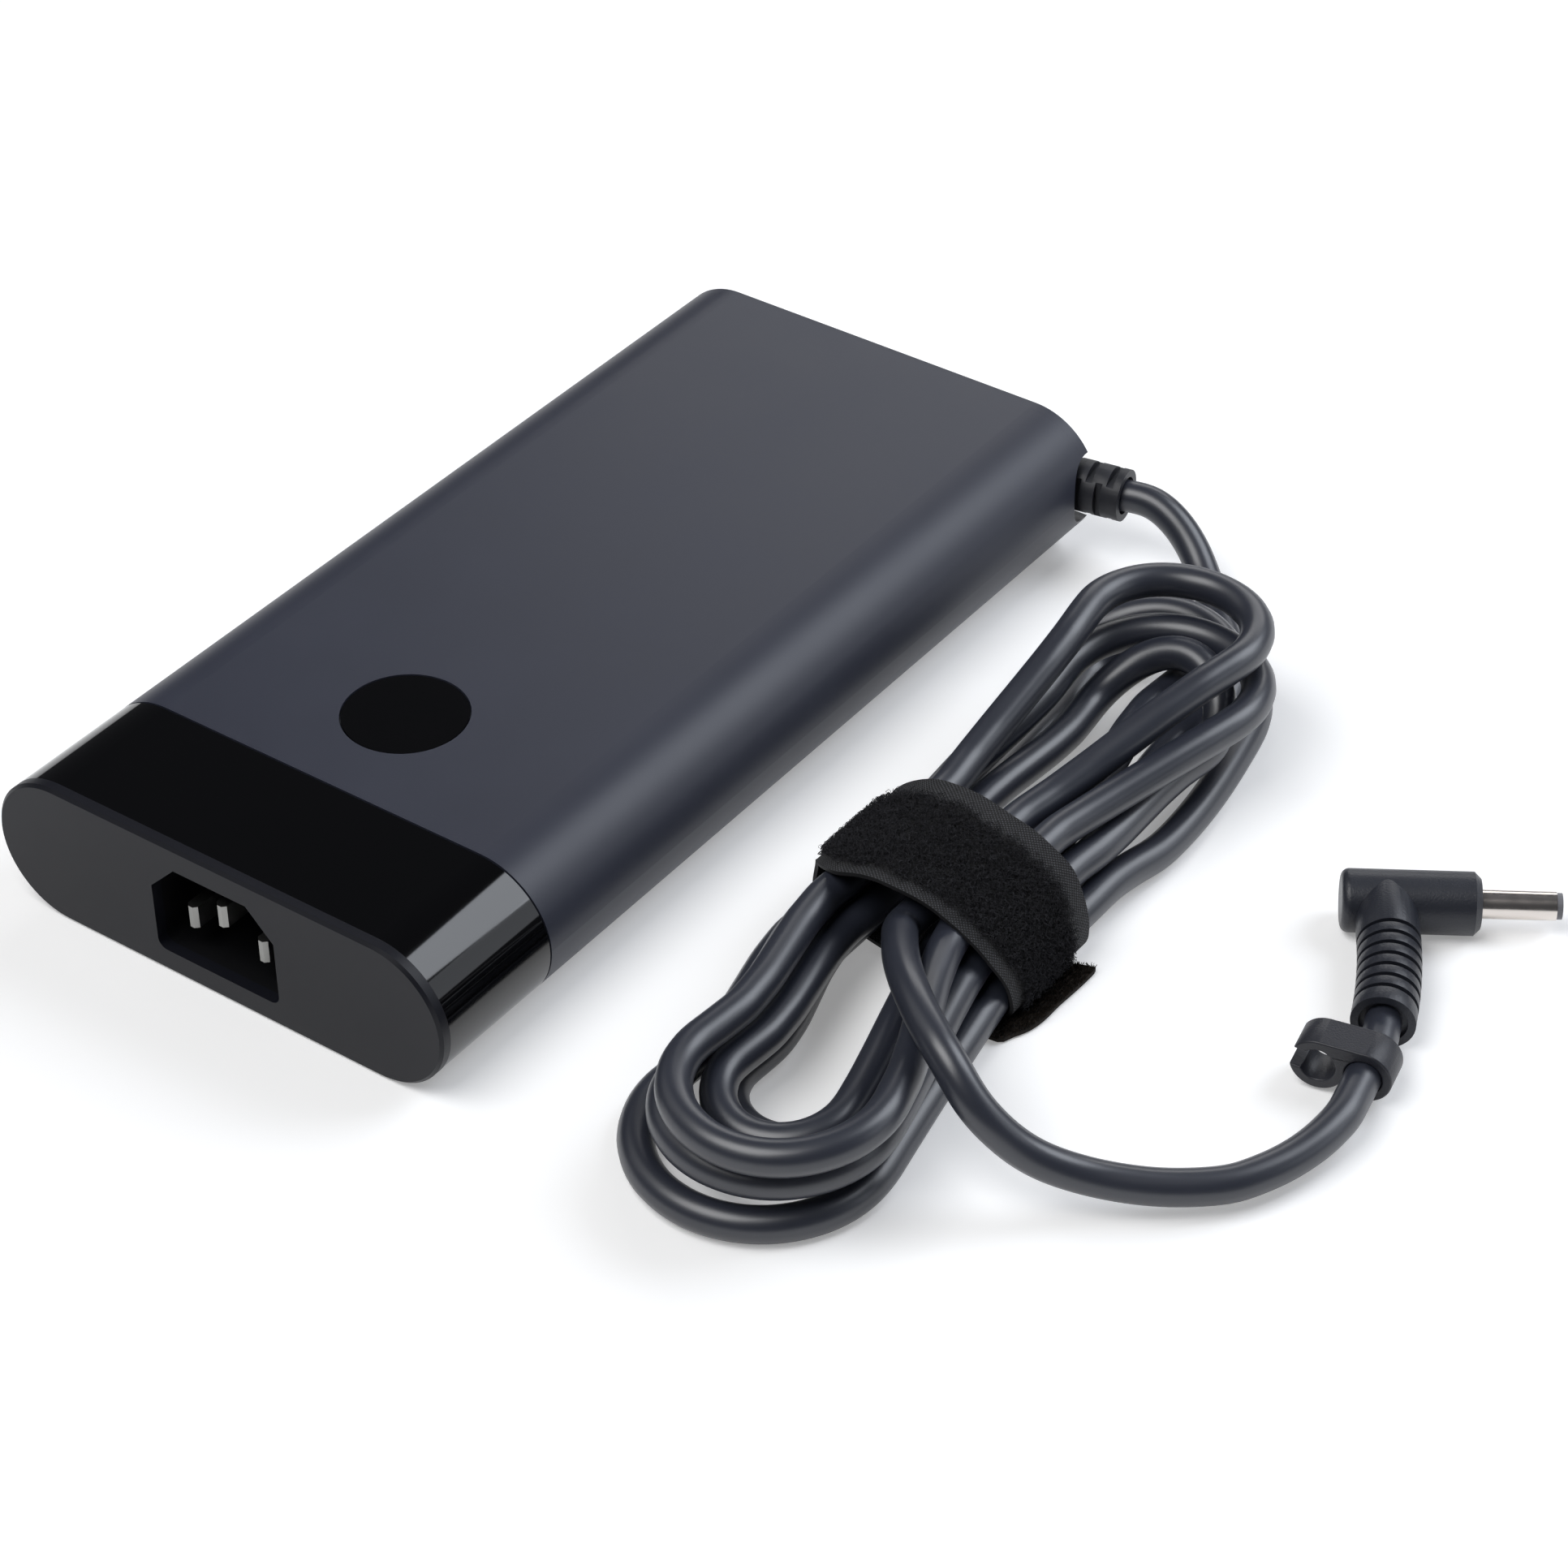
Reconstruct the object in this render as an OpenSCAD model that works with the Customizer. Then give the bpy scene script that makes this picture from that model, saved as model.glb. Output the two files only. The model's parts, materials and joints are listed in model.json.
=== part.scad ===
// Slim laptop power supply with a wound output cord, a hook-and-loop tie,
// a cord clip and an angled barrel plug. Millimetres.
// Origin: centre of the case's base. X across, +Y towards the rear, +Z up.

/* [Case] */
// Length of the case from the inlet face to the rear face
case_length = 175.7; // [165:0.1:190]
// Width of the case
case_width = 88.2; // [84:0.1:96]
// Height of the case
case_height = 25.4; // [24.6:0.1:28]
// Thickness of the case walls
wall = 2.2; // [1.6:0.1:2.4]
// Length of the gloss band at the inlet end, end plate included
band_length = 25.3; // [24:0.1:30]
// Width of the seam between the band and the sleeve
seam = 0.35; // [0.2:0.05:0.6]
// Thickness of the two end plates
plate_thick = 2.0; // [1.6:0.1:2.4]
// Bevel round the edge of the inlet end plate
plate_bevel = 0.5; // [0.3:0.1:0.8]

/* [Badge] */
// Diameter of the badge disc on top
badge_diameter = 20; // [14:0.5:24]
// Distance of the badge from the inlet face
badge_inset = 45.85; // [40:0.05:60]
// Depth of the badge recess
badge_depth = 0.8; // [0.5:0.1:1.2]

/* [Inlet] */
// Width of the inlet cavity
inlet_width = 24.3; // [24:0.1:25]
// Height of the inlet cavity
inlet_height = 16.9; // [16.6:0.1:17.4]
// Depth of the inlet cavity from the end face
inlet_depth = 18; // [16:0.5:19]
// Chamfer at the cavity's two upper corners
inlet_chamfer = 5; // [4:0.1:6]
// Height of each contact blade
blade_height = 4; // [3.8:0.1:4.2]
// Thickness of each contact blade
blade_thick = 2; // [1.8:0.1:2.2]
// Distance between the line and neutral blades
blade_spread = 14; // [13.6:0.1:14.4]
// Rise of the earth blade above the other two
earth_rise = 4; // [3.6:0.1:4.2]

/* [Output cord] */
// Diameter of the cord
cord_diameter = 5.6; // [5.2:0.1:5.8]
// Diameter of the caged strain relief at the case
relief_diameter = 9.1; // [8.6:0.1:9.6]
// Length of the caged strain relief from its root
relief_length = 17; // [15.5:0.1:18.5]
// Half height of the corner notch round the strain relief
notch_radius = 6.4; // [6:0.1:7]

/* [Tie strap] */
// Thickness of the strap
strap_thick = 1.3; // [1:0.1:1.5]
// Width of the strap
strap_width = 25; // [20:0.5:26]

/* [Cord clip] */
// Length of the clip along the cord
clip_length = 6; // [5:0.1:7]
// Radial clearance of the clip on the cord
clip_clear = 0.05; // [0.03:0.01:0.08]
// Wall of the clip round the cord
clip_wall = 1.5; // [1.3:0.05:1.9]
// Bore of the clip's open side
clip_bore = 5.5; // [5:0.1:5.6]

/* [Plug] */
// Diameter of the plug body
plug_diameter = 9.9; // [9.7:0.1:10.2]
// Length of the plug body
plug_length = 21.3; // [20:0.1:26]
// Diameter of the barrel
barrel_diameter = 4.5; // [4.5:0.1:5.5]
// Length of the barrel in front of the plug body
barrel_length = 11.5; // [9:0.1:12]
// Length of the plastic ring at the barrel's tip
tip_length = 0.9; // [0.6:0.1:1.2]
// Pitch of the ribs on the plug's strain relief
rib_pitch = 2.52; // [2.4:0.01:2.64]

/* [Hidden] */
$fn = 48;

// fits and clearances
fit = 0.05;
near = 0.02;
cut = 1;

// case, derived
cw = case_width;
ch = case_height;
cy = case_length / 2;
front_y = -cy;
mid_z = ch / 2;
seam_y = front_y + band_length;
sleeve_y = seam_y + seam;
rear_in_y = cy - plate_thick;
face_in_y = front_y + plate_thick;
inner_w = cw - 2 * wall;
inner_h = ch - 2 * wall;
collar = 1.1;
flat_x = (cw - ch) / 2;
half_wall = wall / 2;
badge_y = front_y + badge_inset;

// inlet, derived
inlet_z = mid_z - 0.05;
socket_wall = 1.4;
floor_y = front_y + inlet_depth;
socket_back = 2.6;
blade_low_z = inlet_z - 2;
blade_tip_y = front_y + 2.5;
blade_tail = 6;

// the cord and all it carries move with the rear corner of the case
corner = [cw / 2 - 44.1, cy - 87.85, 0];
cr = cord_diameter / 2;
k = cord_diameter / 5.6;
relief_z = 13;
relief_r = relief_diameter / 2;
exit_angle = 10;
root = corner + [33, 85.6, relief_z];
notch_x = root.x - 1;
exit_dir = [cos(exit_angle), sin(exit_angle), 0];
recess = 0.8;
recess_wall = 0.5;
window = 1.2;
window_pitch = 1.9;
window_count = 7;
window_core = 3.1;
relief_collar = 1.3;
neck_r = 2.9;
neck_y = root.y - 1.4;
notch_wall = 1.6;
notch_back = 3;

// hank: five loops drawn in at the waist, all points in the case's frame
waist = corner + [81.5, -13, 0];
pitch = 6.6 * k;
row = [4.4 * k, 9.7 * k, 15 * k];
half_low = 11;
half_high = 15;
over = 12;
splay = 0.18;
loops = 5;
// each lobe: radius, tip, side shift, height at entry, middle and exit
low_lobes = [[18.5, -86.5, 5.5, 2.8, 2.8, 3],
  [10.2, -68.5, 5, 3.2, 2.9, 3.2],
  [9.9, -74.5, 7.2, 9.9, 8.8, 10.2],
  [16.4, -83.5, 7.6, 9.9, 9.6, 8.8],
  [15.9, -85, 10.3, 17.2, 16.3, 16]];
high_lobes = [[15.8, 69, -7.1, 3, 9.4, 7.1],
  [8.9, 62.2, -7, 3.8, 8.2, 10],
  [11.1, 50.5, 3.8, 9.3, 17.2, 9.9],
  [16.3, 57.5, 3.5, 14.4, 16.2, 17.7],
  [13.9, 61.5, 1.8, 23.3, 22.9, 23.7]];
// places of the cord across the waist: steps from the middle, row
down_slots = [[2.5, 0], [1.5, 0], [1, 1], [2, 1], [1.5, 2], [0.5, 2]];
up_slots = [[-2.5, 0], [-1.5, 0], [-1, 1], [-2, 1], [-1.5, 2]];

// cord from the strain relief to the hank
lead_start = root + (relief_length - recess) * exit_dir;
lead_route = concat([lead_start, lead_start + 5.6 * exit_dir],
  [for (p = [[59.5, 88.9, 11.2], [64, 87.4, 8.4], [68.2, 84.6, 5.8],
    [73.2, 80, 4], [80, 73.5, 2.8], [87.5, 67.5, 2.8], [93.2, 59.5, 2.8],
    [96.2, 48, 2.8], [98.5, 34, 2.8], [99.2, 21.5, 2.9],
    [98.4, 13.4, 3.8], [98, 7.6, 4.4], [98, 2, 4.4]]) p + corner]);

// plug, derived
plug_r = plug_diameter / 2;
plug_z = plug_r;
plug_angle = 32.5;
plug_rear = corner + [129.3, 24.1, plug_z];
plug_dir = [cos(plug_angle), sin(plug_angle), 0];
cross_at = plug_rear + 6.9 * plug_dir;
rib_r = plug_r - 0.05;
core_r = plug_r - 0.75;
neck_length = 9.9;
rib_count = 7;
rib_gap = 0.8;
end_collar = 0.9;
turn_first = plug_angle - 90;
turn_step = 1.4;
mouth_wall = 0.9;
barrel_r = barrel_diameter / 2;
barrel_hold = 5;
barrel_wall = 0.5;
barrel_groove = 0.1;
pin_r = 0.45;
function rib_angle(i) = turn_first - turn_step * i;
function heading(a) = [cos(a), sin(a), 0];
function rib_at(i) = i == 0
  ? cross_at + neck_length * heading(rib_angle(0))
  : rib_at(i - 1) + rib_pitch * heading(rib_angle(i));
end_angle = rib_angle(rib_count);
shank_r = barrel_r - 0.25;
relief_end = rib_at(rib_count) + end_collar * heading(end_angle);
end_start = relief_end - recess * heading(end_angle);

// straight stretch that carries the clip
tip_angle = -78;
tip_length_y = 9.6;
tip_bend = (end_angle - tip_angle) / 3;
function bent(n) = n < 0 ? [0, 0, 0]
  : 0.53 * heading(tip_angle + tip_bend * n) + bent(n - 1);
tip_near = relief_end + (5.6 - recess) * heading(end_angle) + bent(2);
tip_far = tip_near + tip_length_y * heading(tip_angle);
clip_at = 0.6;
clip_r = cr + clip_clear;
clip_outer = clip_r + clip_wall;
clip_gap = 7;
clip_mouth = 3.2;
clip_lean = 8;

// cord from the hank, over the low lobes, to the straight stretch
tail_start = waist + [0.5 * pitch, -half_low, row[2]];
tail_route = concat([tail_start, tail_start + [0, -6, 0]],
  [for (p = [[87.6, -34.4, 17.4], [92.4, -41, 20.2], [98.2, -47.4, 22.4],
    [104.8, -53, 23], [111.4, -57, 21.8], [117.8, -58.6, 16.8],
    [124.2, -56.2, 10.6], [131.2, -52, 6.8], [139.8, -46.6, 5],
    [147.2, -40.2, 4.4], [150.4, -35, 4.3], [152.5, -29.6, 4.3],
    [153.8, -23.9, 4.6]]) p + corner],
  [tip_far + 5.6 * heading(tip_angle), tip_far]);
end_route = [tip_near, tip_near - bent(0), tip_near - bent(1),
  tip_near - bent(2), end_start];

// strap, derived
strap_gap = 0.2;
strap_in = cr + strap_gap;
strap_out = strap_in + strap_thick;
strap_front = waist.y - 15;
dome = 16.3 * k;
tail_out = 7;

// board and parts inside
board_x = flat_x + 5.6;
board_front_y = sleeve_y + 6;
board_rear_y = rear_in_y - 5;
board_z = wall + 3;
board_thick = 1.6;
top_z = board_z + board_thick;
tall = mid_z + inner_h / 2 - 0.9 - top_z;
mid_y = (board_front_y + board_rear_y) / 2;

// ---------- curves
function unit(v) = v / norm(v);
function herm(p0, m0, p1, m1, t) =
  (2 * pow(t, 3) - 3 * t * t + 1) * p0
  + (pow(t, 3) - 2 * t * t + t) * m0
  + (3 * t * t - 2 * pow(t, 3)) * p1
  + (pow(t, 3) - t * t) * m1;
function ease(a, b, f) = a + (b - a) * (1 - cos(180 * f)) / 2;
function lobe_z(s, f) = k * (f < 0.5
  ? ease(s[3], s[4], 2 * f) : ease(s[4], s[5], 2 * f - 1));
function slot(c, sg) = waist
  + [c[0] * pitch, sg * (sg < 0 ? half_low : half_high), row[c[1]]];
function arc_point(s, sg, t, f) = [
  waist.x + s[2] - sg * s[0] * cos(t),
  corner.y + s[1] - sg * s[0] + sg * s[0] * sin(t), lobe_z(s, f)];
function arc_dir(sg, t) = [sg * sin(t), sg * cos(t), 0];
function lobe(c0, c1, s, sg) = let(
    a0 = slot(c0, sg), a1 = slot(c1, sg),
    b0 = arc_point(s, sg, -over, 0), b1 = arc_point(s, sg, 180 + over, 1),
    l0 = norm(b0 - a0), l1 = norm(b1 - a1))
  concat(
    [for (i = [0:2]) herm(a0, l0 * [-sg * splay, sg, 0], b0,
      l0 * arc_dir(sg, -over), i / 3)],
    [for (i = [0:5]) arc_point(s, sg, -over + i * (180 + 2 * over) / 5,
      i / 5)],
    [for (i = [1:3]) herm(b1, l1 * arc_dir(sg, 180 + over), a1,
      l1 * [-sg * splay, -sg, 0], i / 3)]);
hank_route = concat([slot(down_slots[0], 1)],
  [for (n = [0:loops - 1]) each concat(
    lobe(down_slots[n], up_slots[n], low_lobes[n], -1),
    lobe(up_slots[n], down_slots[n + 1], high_lobes[n], 1))],
  [tail_start]);

// least distance between two straight pieces
function span(p, u, q, v) = let(a = u * u, b = u * v, c = v * v,
    w = p - q, d = u * w, e = v * w, den = max(a * c - b * b, 1e-9),
    s = min(1, max(0, (b * e - c * d) / den)),
    t = min(1, max(0, (b * s + e) / c)),
    r = min(1, max(0, (b * t - d) / a)))
  norm(w + r * u - t * v);
function least(r, skip) = min([for (i = [0:len(r) - 2])
  for (j = [i + skip:1:len(r) - 2])
    if (norm(r[i] - r[j]) < 40)
      span(r[i], r[i + 1] - r[i], r[j], r[j + 1] - r[j])]);
function length_of(r) = len(r) < 2 ? 0
  : [for (i = 1, s = norm(r[1] - r[0]); i < len(r);
    i = i + 1, s = s + (i < len(r) ? norm(r[i] - r[i - 1]) : 0))
    if (i == len(r) - 1) s][0];
function curve(r, n) = concat([for (i = [0:len(r) - 2])
  let(a = i == 0 ? 2 * r[0] - r[1] : r[i - 1], b = r[i], c = r[i + 1],
    d = i == len(r) - 2 ? 2 * c - b : r[i + 2])
  for (j = [0:n - 1]) let(t = j / n)
    0.5 * (2 * b + (c - a) * t + (2 * a - 5 * b + 4 * c - d) * t * t
    + (3 * b - a - 3 * c + d) * pow(t, 3))], [r[len(r) - 1]]);

// ---------- a round tube swept along a route
module tube(r, rad, sides) {
  n = len(r);
  dirs = [for (i = [0:n - 1]) unit(i == 0 ? r[1] - r[0]
    : i == n - 1 ? r[i] - r[i - 1] : r[i + 1] - r[i - 1])];
  pts = [for (i = [0:n - 1]) let(t = dirs[i],
      s = unit(cross(t, [0, 0, 1])), u = cross(s, t))
    for (j = [0:sides - 1]) let(a = 360 * j / sides)
      r[i] + rad * (cos(a) * s + sin(a) * u)];
  skin = [for (i = [0:n - 2]) for (j = [0:sides - 1])
    let(a = i * sides + j, b = i * sides + (j + 1) % sides)
      each [[a, b, a + sides], [b, b + sides, a + sides]]];
  first = [for (j = [1:sides - 2]) [0, j + 1, j]];
  last = [for (j = [1:sides - 2]) let(o = (n - 1) * sides)
    [o, o + j, o + j + 1]];
  polyhedron(points = pts, faces = concat(
    [for (f = concat(skin, first, last)) [f[0], f[2], f[1]]]));
}

echo(str("hank length ", round(length_of(hank_route)),
  " lead ", round(length_of(lead_route)),
  " tail ", round(length_of(tail_route)), " mm"));
echo(str("least gap of the hank to itself ",  // cord_hank
    round(100 * (least(hank_route, 3) - cord_diameter)) / 100, " mm"));

// ---------- helpers
module pill(w, h, y0, y1, z = mid_z) {
  e = (w - h) / 2;
  for (x = [-e, e])
    translate([x, y0, z]) rotate([-90, 0, 0]) cylinder(d = h, h = y1 - y0);
  translate([-e, y0, z - h / 2]) cube([2 * e, y1 - y0, h]);
}
module ring(w, h, t, y0, y1) {
  difference() {
    pill(w, h, y0, y1);
    pill(w - 2 * t, h - 2 * t, y0 - cut, y1 + cut);
  }
}
module along(p, a) {
  translate(p) rotate([0, 0, a]) rotate([0, 90, 0]) children();
}
module box(c, s) {
  translate([c.x - s.x / 2, c.y - s.y / 2, c.z]) cube(s);
}

// notch at the rear corner, open to the side and to the rear
module notch(r, x0) {
  difference() {
    union() {
      along(root, exit_angle) translate([0, 0, -8]) cylinder(r = r, h = 40);
      translate(root) rotate([0, 0, exit_angle])
        translate([-8, 0, -r]) cube([40, 30, 2 * r]);
    }
    translate([x0 - 60, root.y - 40, root.z - 20]) cube([60, 90, 40]);
  }
}

// ---------- case
module sleeve_half() {
  ring(cw, ch, wall, sleeve_y, rear_in_y);
}
module upper_cover() {
  color("#33353a") difference() {
    sleeve_half();
    translate([-cw, sleeve_y - cut, -cut])
      cube([2 * cw, case_length, mid_z + cut]);
    intersection() {
      pill(cw - wall, ch - wall, sleeve_y - cut, rear_in_y + cut);
      translate([-cw, sleeve_y - cut, mid_z - cut])
        cube([2 * cw, case_length, 1.8 + cut]);
    }
    translate([0, badge_y, ch - badge_depth])
      cylinder(d = badge_diameter + 0.5, h = 3);
    notch(notch_radius, notch_x);
  }
}
module lower_cover() {
  color("#303237") difference() {
    union() {
      difference() {
        sleeve_half();
        translate([-cw, sleeve_y - cut, mid_z])
          cube([2 * cw, case_length, ch]);
      }
      intersection() {
        ring(cw - wall - 2 * fit, ch - wall - 2 * fit, half_wall - fit,
          sleeve_y, rear_in_y);
        translate([-cw, sleeve_y, mid_z - 0.5])
          cube([2 * cw, case_length, 2.1]);
      }
    }
    notch(notch_radius, notch_x);
  }
}
module front_band() {
  color("#0c0c0e") {
    ring(cw, ch, wall, face_in_y, seam_y);
    ring(inner_w - 2 * fit, inner_h - 2 * fit, collar,
      seam_y - 2, sleeve_y + 4);
    ring(inner_w + 1, inner_h + 1, collar + 0.5, seam_y - 2, seam_y);
  }
}
module cavity(y0, y1, g = 0) {
  w = inlet_width / 2 + g;
  h = inlet_height / 2 + g;
  c = inlet_chamfer + 0.4 * g;
  r = 1.7;
  translate([0, y1, inlet_z]) rotate([90, 0, 0])
    linear_extrude(y1 - y0) {
      polygon([[-w + r, -h], [w - r, -h], [w, -h + r], [w, h - c],
        [w - c, h], [-w + c, h], [-w, h - c], [-w, -h + r]]);
      for (x = [-w + r, w - r]) translate([x, -h + r]) circle(r);
    }
}
module inlet_plate() {
  color("#2b2c2f") difference() {
    union() {
      pill(cw, ch, front_y + plate_bevel, face_in_y);
      pill(cw - 2 * plate_bevel, ch - 2 * plate_bevel, front_y, face_in_y);
      for (x = [-flat_x, flat_x]) translate([x, front_y, mid_z])
        rotate([-90, 0, 0]) cylinder(r1 = mid_z - plate_bevel, r2 = mid_z,
          h = plate_bevel);
      translate([-flat_x, front_y, 0]) rotate([90, 0, 90])
        linear_extrude(2 * flat_x) polygon([[0, plate_bevel],
          [plate_bevel, 0], [plate_bevel, ch], [0, ch - plate_bevel]]);
      difference() {
        ring(inner_w - 2 * fit, inner_h - 2 * fit, collar, face_in_y - 0.5,
          face_in_y + 3);
        translate([-inlet_width, front_y, -cut])
          cube([2 * inlet_width, 10, 2 * ch]);
      }
    }
    cavity(front_y - cut, face_in_y + cut);
  }
}
module rear_plate() {
  color("#303237") difference() {
    union() {
      pill(cw, ch, rear_in_y, cy);
      ring(inner_w - 2 * fit, inner_h - 2 * fit, collar, rear_in_y - 3,
        rear_in_y + 0.5);
      intersection() {
        pill(inner_w - 2 * fit, inner_h - 2 * fit, rear_in_y - 20,
          rear_in_y + 0.5);
        notch(notch_radius + notch_wall, notch_x - notch_back);
      }
    }
    notch(notch_radius, notch_x);
    translate([notch_x - 10, neck_y, relief_z]) rotate([0, 90, 0])
      cylinder(r = neck_r, h = 20);
  }
}
module badge_disc() {
  color("#08080a") translate([0, badge_y, ch - badge_depth])
    cylinder(d = badge_diameter, h = badge_depth - 0.1);
}

// ---------- inlet
module inlet_socket() {
  color("#0e0e10") difference() {
    cavity(face_in_y, floor_y + socket_back, socket_wall);
    cavity(front_y - cut, floor_y);
    for (x = [-1, 1]) blade_slot(x * blade_spread / 2, blade_low_z);
    blade_slot(0, blade_low_z + earth_rise);
  }
}
module blade_slot(x, z) {
  translate([x - blade_thick / 2, front_y, z - blade_height / 2])
    cube([blade_thick, 60, blade_height]);
}
module blade(x, z, t) {
  y1 = floor_y + socket_back + blade_tail;
  b = 0.6;
  w = blade_thick / 2;
  translate([x, 0, z - blade_height / 2]) linear_extrude(blade_height)
    polygon([[-w, t + b], [-w + b, t], [w - b, t], [w, t + b], [w, y1],
      [-w, y1]]);
}
module pin_line() {
  color("#c9c9c4") blade(blade_spread / 2, blade_low_z, blade_tip_y);
}
module pin_neutral() {
  color("#c9c9c4") blade(-blade_spread / 2, blade_low_z, blade_tip_y);
}
module pin_earth() {
  color("#c9c9c4") blade(0, blade_low_z + earth_rise, blade_tip_y - 0.8);
}

// ---------- output cord
module strain_relief() {
  color("#15161a") {
    difference() {
      along(root, exit_angle) difference() {
        translate([0, 0, -4]) cylinder(r = relief_r, h = relief_length + 4);
        translate([0, 0, relief_length - recess])
          cylinder(r = cr + recess_wall, h = recess + cut);
        for (i = [0:window_count - 1])
          translate([0, 0, relief_length - relief_collar - window
            - window_pitch * i]) rotate([0, 0, 90 * (i % 2)])
            for (s = [-1, 1]) translate([s > 0 ? window_core
              : -window_core - 4, -3.7, 0]) cube([4, 7.4, window]);
      }
      translate([notch_x - 20, root.y - 20, root.z - 20])
        cube([20, 40, 40]);
    }
    translate([notch_x - notch_back - 2, neck_y, relief_z])
      rotate([0, 90, 0]) translate([0, 0, 1.9])
        cylinder(r = neck_r - near, h = notch_back + 0.3);
    translate([notch_x - notch_back - 2, neck_y - 4.8, relief_z - 4.8])
      cube([2 - near, rear_in_y - neck_y + 4.7, 9.6]);
  }
}
module cord_lead() {
  color("#1a1b1f") tube(lead_ring, cr, 10);
}
lead_ring = concat([lead_route[0]], curve([for (i = [1:len(lead_route) - 2])
  lead_route[i]], 2), [lead_route[len(lead_route) - 1]]);
module cord_hank() {
  color("#1a1b1f") tube(hank_route, cr, 6);
}
module cord_tail() {
  color("#1a1b1f") tube(tail_ring, cr, 10);
}
tail_ring = concat([tail_route[0]], curve([for (i = [1:len(tail_route) - 2])
  tail_route[i]], 2), [tail_route[len(tail_route) - 1]]);
module cord_tip() {
  color("#1a1b1f") along(tip_near, tip_angle) translate([0, 0, near])
    cylinder(r = cr, h = tip_length_y - 2 * near);
}
module cord_end() {
  color("#1a1b1f") tube(end_route, cr, 10);
}

// ---------- strap round the waist: flat below, domed above
low = 2.5 * pitch;
function oval(w, h, t) = [w * cos(t), row[0] + h * sin(t)];
module wrapped(r) {
  polygon(concat(
    [for (j = [0:6]) [-low, row[0]] + r * [cos(180 + 15 * j),
      sin(180 + 15 * j)]],
    [for (j = [0:6]) [low, row[0]] + r * [cos(270 + 15 * j),
      sin(270 + 15 * j)]],
    [for (j = [1:23]) oval(low + r, dome + r - strap_in, 7.5 * j)]));
}
module tie_strap() {
  color("#101013") translate([waist.x, strap_front, 0]) {
    translate([0, strap_width, 0]) rotate([90, 0, 0])
      linear_extrude(strap_width) difference() {
        wrapped(strap_out);
        wrapped(strap_in);
      }
    difference() {
      translate([low - 2, 0, row[0] - strap_out])
        cube([2 + strap_out + tail_out, strap_width - 4, strap_thick]);
      translate([low + strap_out + tail_out, -6, -cut])
        rotate([0, 0, 35]) cube([20, 60, 10]);
    }
  }
}

// ---------- clip on the cord
module cable_clip() {
  h = clip_length;
  color("#121216") along(tip_near, tip_angle + 180)
    translate([0, 0, -clip_at - h]) difference() {
      union() {
        cylinder(r = clip_outer, h = h);
        translate([0, clip_gap, 0]) cylinder(r = clip_outer, h = h);
        translate([-clip_outer, 0, 0]) cube([clip_outer + 2, clip_gap, h]);
      }
      translate([0, 0, -cut]) cylinder(r = clip_r, h = h + 2 * cut);
      translate([0, clip_gap, -cut]) {
        cylinder(d = clip_bore, h = h + 2 * cut);
        rotate([0, 0, 90 + clip_lean]) translate([0, -clip_mouth / 2, 0])
          cube([9, clip_mouth, h + 2 * cut]);
      }
    }
}

// ---------- plug
module plug_relief() {
  color("#17181b") difference() {
    union() {
      along(cross_at, rib_angle(0)) cylinder(r = rib_r, h = neck_length);
      for (i = [1:rib_count]) along(rib_at(i - 1), rib_angle(i)) {
        translate([0, 0, -0.3]) cylinder(r = core_r, h = rib_gap + 0.6);
        translate([0, 0, rib_gap]) cylinder(r = rib_r,
          h = rib_pitch - rib_gap + (i == rib_count ? end_collar : 0));
      }
    }
    along(relief_end, end_angle) translate([0, 0, -recess])
      cylinder(r = cr + mouth_wall, h = recess + cut);
    along(plug_rear, plug_angle) cylinder(r = plug_r, h = plug_length);
  }
}
module plug_body() {
  e = 1.3;
  b = 1;
  color("#17181b") along(plug_rear, plug_angle) difference() {
    union() {
      translate([0, 0, e]) cylinder(r = plug_r, h = plug_length - e - b);
      cylinder(r = plug_r - e, h = e + cut);
      rotate_extrude() translate([plug_r - e, e]) circle(e);
      translate([0, 0, plug_length - b])
        cylinder(r1 = plug_r, r2 = plug_r - b, h = b);
    }
    translate([0, 0, plug_length - barrel_hold])
      cylinder(r = shank_r, h = barrel_hold + cut);
  }
}
module plug_barrel() {
  color("#b9b7b2") along(plug_rear, plug_angle)
    translate([0, 0, plug_length - barrel_hold]) difference() {
      union() {
        cylinder(r = shank_r, h = barrel_hold + barrel_groove + cut);
        translate([0, 0, barrel_hold + barrel_groove])
          cylinder(r = barrel_r, h = barrel_length - barrel_groove);
      }
      translate([0, 0, -cut]) cylinder(r = barrel_r - barrel_wall,
        h = barrel_hold + barrel_length + 2 * cut);
    }
}
module plug_insulator() {
  h = barrel_hold + barrel_length;
  ri = barrel_r - barrel_wall;
  color("#6f6f72") along(plug_rear, plug_angle)
    translate([0, 0, plug_length - barrel_hold]) difference() {
      union() {
        cylinder(r = ri, h = h + tip_length);
        translate([0, 0, h]) cylinder(r = barrel_r - 0.2, h = tip_length);
      }
      translate([0, 0, 3]) cylinder(r = ri - 0.5, h = h);
      translate([0, 0, -cut]) cylinder(r = pin_r, h = h);
    }
}
module plug_pin() {
  color("#c8a75a") along(plug_rear, plug_angle)
    translate([0, 0, plug_length - barrel_hold])
    cylinder(r = pin_r, h = barrel_hold + barrel_length - 2);
}

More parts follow.
